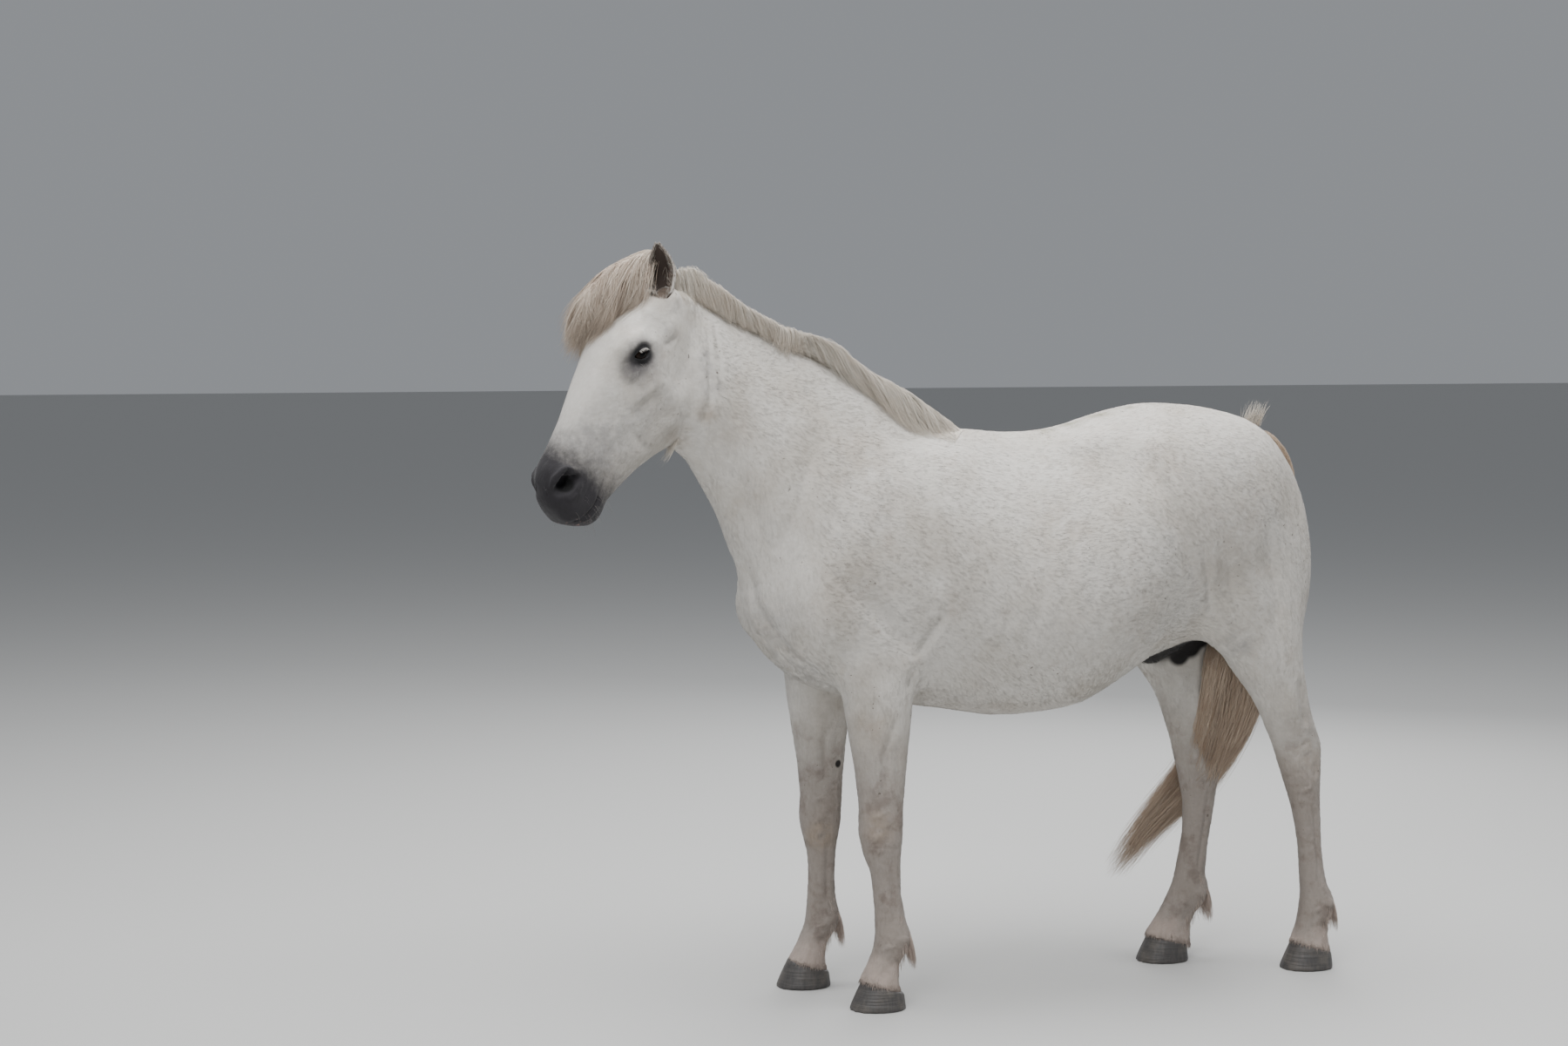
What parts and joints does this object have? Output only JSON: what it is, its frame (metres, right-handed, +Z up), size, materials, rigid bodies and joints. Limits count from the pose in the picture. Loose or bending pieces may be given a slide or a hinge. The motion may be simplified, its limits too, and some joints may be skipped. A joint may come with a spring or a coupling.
{
  "type": "horse",
  "caption": "Life-size standing grey-white horse, head turned a little to its left, forelock over the brow, mane on the right, tail swung between the hind legs.",
  "frame": {"origin": "on the floor, under the middle of the model's bounding box", "axes": "+Z up, the horse faces -Y, its left side is +X"},
  "size_m": [0.612, 2.101, 1.8308],
  "materials": {
    "coat": "matt short hair",
    "leg_coat": "matt short hair, stained",
    "long_hair": "soft long hair",
    "hoof": "worn horn",
    "eye": "wet gloss"
  },
  "bodies": {
    "root": {"head": "coat", "neck": "coat", "trunk": "coat", "fore_upper_leg_left": "coat", "fore_lower_leg_left": "leg_coat", "fore_hoof_left": "hoof", "fore_upper_leg_right": "coat", "fore_lower_leg_right": "leg_coat", "fore_hoof_right": "hoof", "hind_upper_leg_left": "coat", "hind_lower_leg_left": "leg_coat", "hind_hoof_left": "hoof", "hind_upper_leg_right": "coat", "hind_lower_leg_right": "leg_coat", "hind_hoof_right": "hoof", "ear_left": "coat", "ear_right": "coat", "eye_left": "eye", "eye_right": "eye", "mane": "long_hair", "forelock": "long_hair", "tail": "long_hair"}
  },
  "joints": []
}
